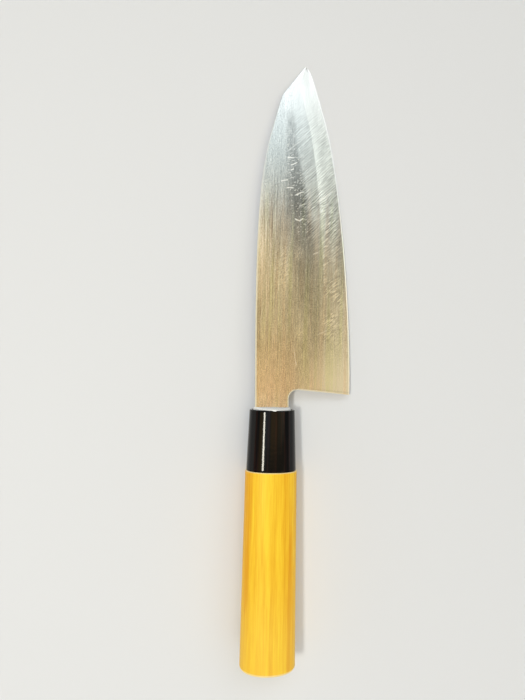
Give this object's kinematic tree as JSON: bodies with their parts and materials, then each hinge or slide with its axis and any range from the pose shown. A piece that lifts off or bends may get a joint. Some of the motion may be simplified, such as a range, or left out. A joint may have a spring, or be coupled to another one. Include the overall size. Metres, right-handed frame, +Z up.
{
  "type": "santoku knife",
  "caption": "Japanese kitchen knife with a clipped tip, a tall flat-ground blade, a cut-back heel, a black oval ferrule and a plain oval wooden handle, lying on its side.",
  "frame": {"origin": "centre of the lying knife's box, on the surface that the knife rests on", "axes": "+X along the knife from the butt to the tip, +Y from the cutting edge to the spine, +Z up, out of the blade's right face as the knife lies on its left side"},
  "size_m": [0.2966, 0.052, 0.0236],
  "materials": {
    "blade_steel": "ground along its length, satin, with a finer worn bevel",
    "black_gloss": "polished black",
    "pale_wood": "sanded and waxed, grain along the handle",
    "white_seal": "cured white bead, slightly uneven",
    "resin": "cured amber resin, hidden in the handle"
  },
  "bodies": {
    "root": {"blade": "blade_steel", "ferrule": "black_gloss", "handle": "pale_wood", "tang_seal": "white_seal", "tang_resin": "resin"}
  },
  "joints": []
}
